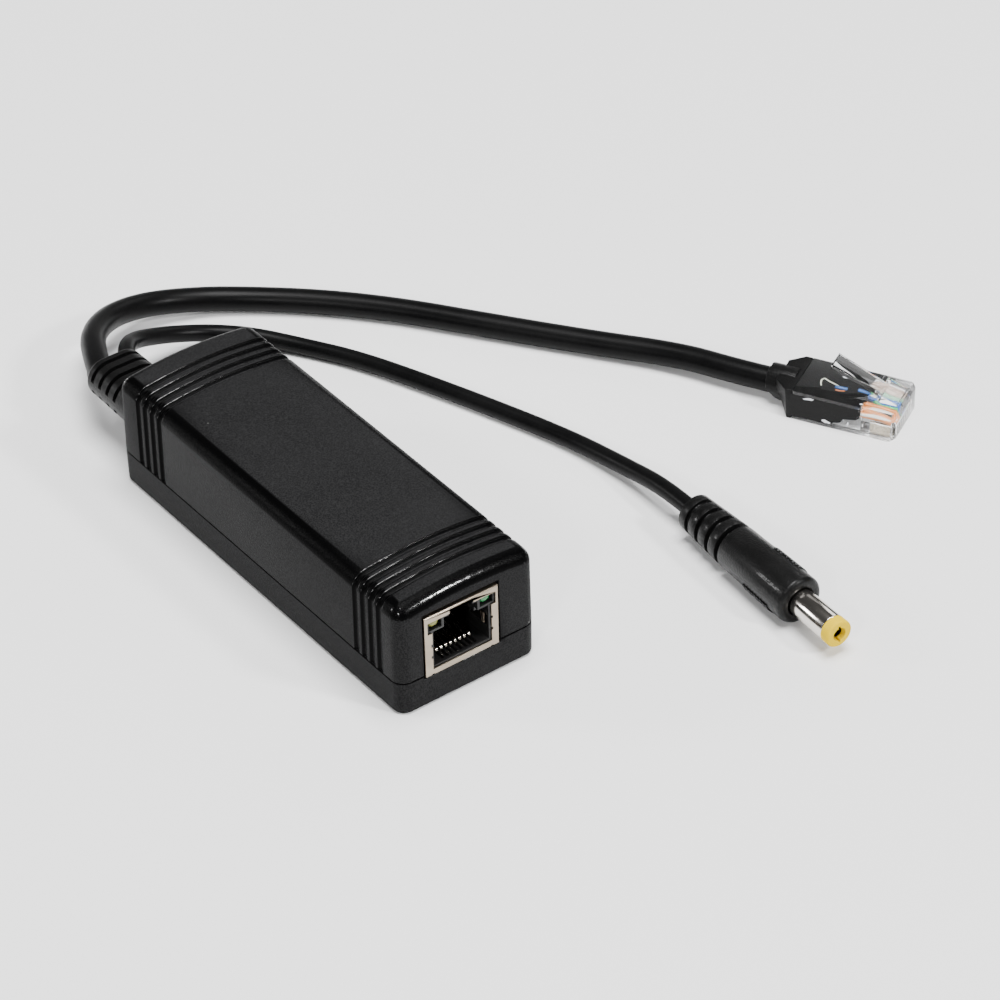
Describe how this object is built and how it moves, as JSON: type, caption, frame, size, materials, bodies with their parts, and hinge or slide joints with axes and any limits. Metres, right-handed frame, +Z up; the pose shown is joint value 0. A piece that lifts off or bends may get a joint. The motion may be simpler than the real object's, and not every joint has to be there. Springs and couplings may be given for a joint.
{
  "type": "poe splitter",
  "caption": "Long black case that takes a network lead at one end and splits it into a network plug and a round power plug on two cords.",
  "frame": {"origin": "centre of the case's underside, on the surface that it lies on", "axes": "+Z up; Y along the case, -Y at the jack and +Y at the cords; +X to the right when one looks along +Y, the side that the cords lie on"},
  "size_m": [0.1313, 0.1653, 0.0245],
  "materials": {
    "case_plastic": "satin black moulding with a fine texture and glossier edges",
    "board_laminate": "green solder mask",
    "plated_steel": "satin tin plate",
    "jack_plastic": "black glass-filled moulding",
    "gold_contact": "polished gold plate",
    "yellow_lamp": "tinted clear lens",
    "green_lamp": "tinted clear lens",
    "black_resin": "matt moulded resin",
    "can_aluminium": "bare can",
    "ferrite": "ground ferrite",
    "winding_tape": "polyester tape over the turns",
    "copper": "enamelled wire",
    "overmould": "semi-matt flexible moulding",
    "wire_sleeving": "insulated wires",
    "red_insulation": "insulated wire",
    "black_insulation": "insulated wire",
    "cord_jacket": "satin jacket",
    "clear_plastic": "clear moulding",
    "nickel": "nickel plate",
    "yellow_tip": "glossy yellow insulator",
    "white_orange_insulation": "white with an orange stripe",
    "orange_insulation": "orange",
    "white_green_insulation": "white with a green stripe",
    "blue_insulation": "blue",
    "white_blue_insulation": "white with a blue stripe",
    "green_insulation": "green",
    "white_brown_insulation": "white with a brown stripe",
    "brown_insulation": "brown"
  },
  "bodies": {
    "root": {"activity_lamp": "yellow_lamp", "blue_wire": "blue_insulation", "bottom_tray": "case_plastic", "bridge_rectifiers": "black_resin", "brown_wire": "brown_insulation", "cable_boot": "overmould", "choke_core": "ferrite", "choke_winding": "copper", "circuit_board": "board_laminate", "controller_chip": "black_resin", "green_wire": "green_insulation", "inner_data_wires": "wire_sleeving", "inner_negative_wire": "black_insulation", "inner_positive_wire": "red_insulation", "input_capacitor": "can_aluminium", "jack_contacts": "gold_contact", "jack_housing": "jack_plastic", "jack_shield": "plated_steel", "link_lamp": "green_lamp", "network_cable": "cord_jacket", "network_transformer": "black_resin", "optocoupler": "black_resin", "orange_wire": "orange_insulation", "output_capacitors": "can_aluminium", "output_diode": "black_resin", "plug_body": "clear_plastic", "plug_boot": "overmould", "plug_contacts": "gold_contact", "power_cable": "cord_jacket", "power_plug_barrel": "nickel", "power_plug_grip": "overmould", "power_plug_sleeve": "nickel", "power_plug_tip": "yellow_tip", "top_cover": "case_plastic", "transformer_bobbin": "jack_plastic", "transformer_core": "ferrite", "transformer_winding": "winding_tape", "white_blue_wire": "white_blue_insulation", "white_brown_wire": "white_brown_insulation", "white_green_wire": "white_green_insulation", "white_orange_wire": "white_orange_insulation"}
  },
  "joints": []
}
